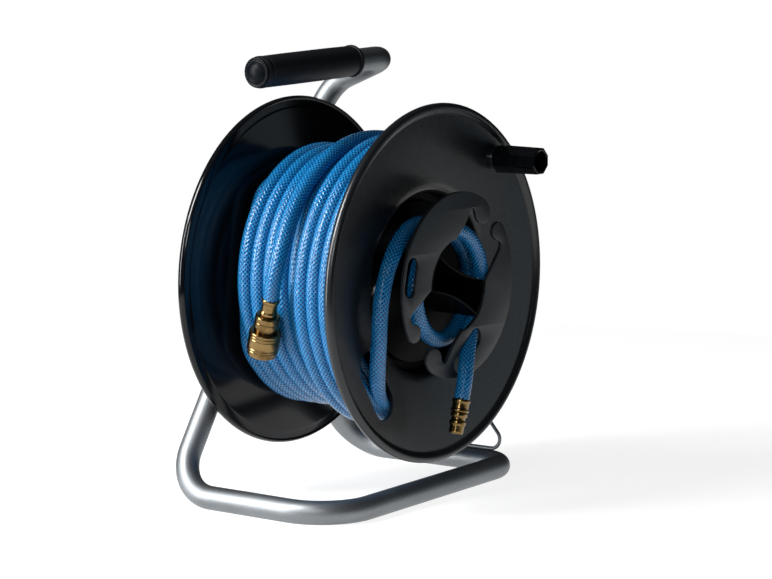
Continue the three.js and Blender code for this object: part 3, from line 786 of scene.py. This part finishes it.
def winding():
    """Three layers over the barrel, from under the front slot to the start of the loose lead."""
    down = np.arange(270, 345, WIND_STEP)
    drop = (down - 255) / 90
    rows = [np.stack([SLOT_R - (SLOT_R - LAYER_R[0]) * drop, down, -54 + 3.2 * drop], axis=1)]
    rows.append(layer(360, 8.4, LAYER_R[0], -50.6, 50.4))
    rows.append(layer(rows[-1][-1, 1] + LAYER_RISE, 8.7, LAYER_R[1], 50.2, -54.3))
    start = rows[-1][-1, 1] + LAYER_RISE
    turns = 3 + ((LEAD_POLAR[0][1] - start) % 360) / 360
    rows.append(layer(start, turns, LAYER_R[2], -56.6, -16.3))
    rows = np.vstack(rows)
    for column in (0, 2):
        padded = np.pad(rows[:, column], 3, mode="reflect", reflect_type="odd")
        rows[:, column] = np.convolve(padded, EASE, mode="valid")
    return polar(*rows[:, :2].T, rows[:, 2])


def hose_route():
    """The whole hose in one run, from its nipple through the clip and slot to the coupling."""
    points = [TAIL_END, *TAIL_ROUTE[::-1], *winding()]
    radii, angles, ys = np.array(LEAD_POLAR).T
    points += [*polar(radii, angles, ys), LEAD_END]
    return smooth(points, 6.0)


def add_hose(material):
    """The hose as one cord that turns with the drum."""
    run = hose_route()
    hose = tube("hose", run, HOSE_R, 24, material)
    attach(hose, "drum")
    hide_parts("hose_winding", "hose_tail", "hose_lead")


# ---- brass fittings ----
NIPPLE_TO = np.add(TAIL_END, 40 * unit(np.subtract(TAIL_END, TAIL_ROUTE[-1])))
COUPLING_TO = (-105.5, 15.4, -49.4)
FITTINGS = {
    # node: body, start, towards, closed, outline of radius and distance
    "nipple_ferrule": ("drum", TAIL_END, NIPPLE_TO, False, [
        (0, 0.3), (6.5, 0.3), (6.9, 1), (6.9, 2.4), (6.2, 3), (6.2, 7.4), (6.9, 8), (6.9, 9.4),
        (6.4, 10), (0, 10),
    ]),
    "plug_nipple": ("drum", TAIL_END, NIPPLE_TO, True, [
        (3.8, 10.1), (5.6, 10.1), (6.3, 11), (6.3, 13), (5.2, 14), (5.2, 16), (6.2, 17), (6.2, 19),
        (5.4, 20.2), (5.4, 25), (4.8, 26.2), (3.8, 26.2),
    ]),
    "coupling_ferrule": ("drum", LEAD_END, COUPLING_TO, False, [
        (0, 0.3), (6.1, 0.3), (6.8, 1), (6.8, 3), (5.9, 3.8), (5.7, 10), (6.5, 11.4), (6.5, 13.2),
        (5.6, 14.2), (0, 14.2),
    ]),
    "coupling_body": ("drum", LEAD_END, COUPLING_TO, True, [
        (4, 14.1), (8.2, 14.1), (9.4, 15), (9.4, 18.6), (9.1, 19), (9.4, 19.4), (9.4, 23.4),
        (8.4, 23.8), (8.4, 45.5), (7.6, 46.3), (5.2, 46.3), (5.2, 30), (4, 29),
    ]),
    "coupling_sleeve": ("coupling_sleeve", LEAD_END, COUPLING_TO, True, [
        (8.7, 27.2), (11.3, 27.2), (11.9, 27.8), (11.9, 29), (11.5, 29.3), (11.5, 29.9),
        (11.9, 30.2), (11.9, 31.4), (11.5, 31.7), (11.5, 32.3), (11.9, 32.6), (11.9, 39),
        (11.5, 39.3), (11.5, 39.9), (11.9, 40.2), (11.9, 41.2), (11.5, 41.5), (11.5, 42.1),
        (11.8, 42.4), (11.7, 43.4), (11.3, 43.8), (11.2, 44.4), (11.1, 46.4), (10.6, 47), (8.7, 47),
    ]),
}


def add_fittings(material):
    """Both brass ends of the hose, turned to their outlines."""
    pieces = []
    for node, (body, start, towards, closed, outline) in FITTINGS.items():
        outline = rounded(outline, 0.25, closed)
        piece = lathe(f"{node}_turned", outline, TURNED_SIDES, material, start, towards, closed)
        pieces.append(stand_in(piece, body, "brass", node))
    return pieces


# ---- parts kept from the CAD ----
def finish_nodes(names, material):
    """Gives some visible CAD nodes their material."""
    for name in names:
        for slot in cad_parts[name].material_slots:
            slot.material = material


# ---- light and floor ----
SKY = 1.5                        # radiance straight overhead
SKY_LOW = 0.03                   # radiance at the horizon
FLOOR_R = 900.0


def add_area(name, at, towards, size, radiance, color=(1, 1, 1)):
    """A rectangular lamp of a given radiance that the camera doesn't see."""
    data = bpy.data.lights.new(name, "AREA")
    data.shape = "RECTANGLE"
    data.size, data.size_y = size
    data.energy = radiance * math.pi * size[0] * size[1]
    data.color = color
    lamp = bpy.data.objects.new(name, data)
    aim = Vector(towards) - Vector(at)
    lamp.matrix_world = Matrix.Translation(Vector(at)) @ aim.to_track_quat("-Z", "Y").to_matrix().to_4x4()
    lamp.visible_camera = False
    bpy.context.scene.collection.objects.link(lamp)


def add_world():
    """White behind everything; the light itself comes from overhead and fades to the horizon."""
    world = bpy.data.worlds.new("studio")
    world.use_nodes = True
    tree = world.node_tree
    sky = tree.nodes["Background"]
    split = tree.nodes.new("ShaderNodeSeparateXYZ")
    tree.links.new(tree.nodes.new("ShaderNodeTexCoord").outputs["Generated"], split.inputs["Vector"])
    fade = tree.nodes.new("ShaderNodeMapRange")
    fade.interpolation_type = "SMOOTHSTEP"
    fade.inputs["From Min"].default_value = 0.05
    fade.inputs["To Min"].default_value = SKY_LOW
    fade.inputs["To Max"].default_value = SKY
    tree.links.new(split.outputs["Z"], fade.inputs["Value"])
    tree.links.new(fade.outputs["Result"], sky.inputs["Strength"])
    backdrop = tree.nodes.new("ShaderNodeBackground")
    mix = tree.nodes.new("ShaderNodeMixShader")
    tree.links.new(tree.nodes.new("ShaderNodeLightPath").outputs["Is Camera Ray"], mix.inputs[0])
    tree.links.new(sky.outputs[0], mix.inputs[1])
    tree.links.new(backdrop.outputs[0], mix.inputs[2])
    backdrop.inputs["Color"].default_value = (1, 1, 1, 1)
    tree.links.new(mix.outputs[0], tree.nodes["World Output"].inputs["Surface"])
    bpy.context.scene.world = world


def add_stage():
    """A pale round floor, the world and four lamps."""
    edge = arc(0, 0, FLOOR_R, 0, 354, 6)
    paint = principled(
        "floor_paint", (0.32, 0.32, 0.32), 0.8, Specular_IOR_Level=0.0, Emission_Strength=0.84,
    )
    paint.node_tree.nodes["Principled BSDF"].inputs["Emission Color"].default_value = (1, 1, 1, 1)
    floor = new_object("floor", [(x, y, FLOOR_Z) for x, y in edge], [range(len(edge))], paint)
    add_world()
    add_area("key", (-1.05, 0.55, 1.15), (0, 0, 0.18), (0.45, 0.6), 34)
    add_area("side", (-1.25, 0.95, 0.5), (0, 0, 0.17), (0.22, 1.0), 36)
    add_area("front", (-1.7, -0.65, 0.9), (0, 0, 0.17), (0.45, 0.45), 12)
    add_area("far_right", (1.12, -1.3, 0.24), (0, 0, 0.17), (0.65, 0.8), 0.5, (0.74, 0.9, 1.0))
    bpy.context.scene.view_settings.view_transform = "Standard"


add_camera()
brass = brass_material()
fittings = add_fittings(brass)
add_hose(hose_material())

steel = metal("frame_steel", (0.235, 0.25, 0.262), 0.48, 900, 0.00003)
zinc = metal("zinc_hardware", (0.6, 0.61, 0.62), 0.35, 1200, 0.00003)
satin = moulded("drum_plastic", (0.005, 0.0065, 0.008), 0.27, 2600, 0.00008, 0.5)
gloss = moulded("drum_gloss", (0.002, 0.0025, 0.0035), 0.12, 700, 0.00002, 0.28)
# painted shade: a near-black, almost specular-free moulding that stands in for the shade in the well and
# the hub's pocket
painted_shade_black = moulded("painted_shade_black", (0.0006, 0.0007, 0.001), 0.35, 900, 0.00003, 0.05)
grained = moulded("clip_grain", (0.009, 0.011, 0.013), 0.36, 2000, 0.0002, 0.45)
rubber = moulded("grip_rubber", (0.005, 0.006, 0.008), 0.5, 1500, 0.0002, 0.3)

add_frame(steel)
add_grip(rubber, moulded("cap_black", (0.0015, 0.0025, 0.004), 0.4, 300, 0.00001, 0.08))
add_guide(steel)
add_front_half(satin, painted_shade_black)
add_rear_flange(gloss)
add_clip(grained, painted_shade_black)
add_knob(gloss)
finish_nodes((
    "axle", "axle_washer", "axle_nut", "axle_spacer", "front_washer", "axle_clip", "crank_pin",
    *(f"flange_screw_{i}" for i in (1, 2, 3, 4)), *(f"clip_screw_{i}" for i in (1, 2, 3)),
), zinc)
finish_nodes(("bush_rear", "bush_front"), satin)
add_stage()
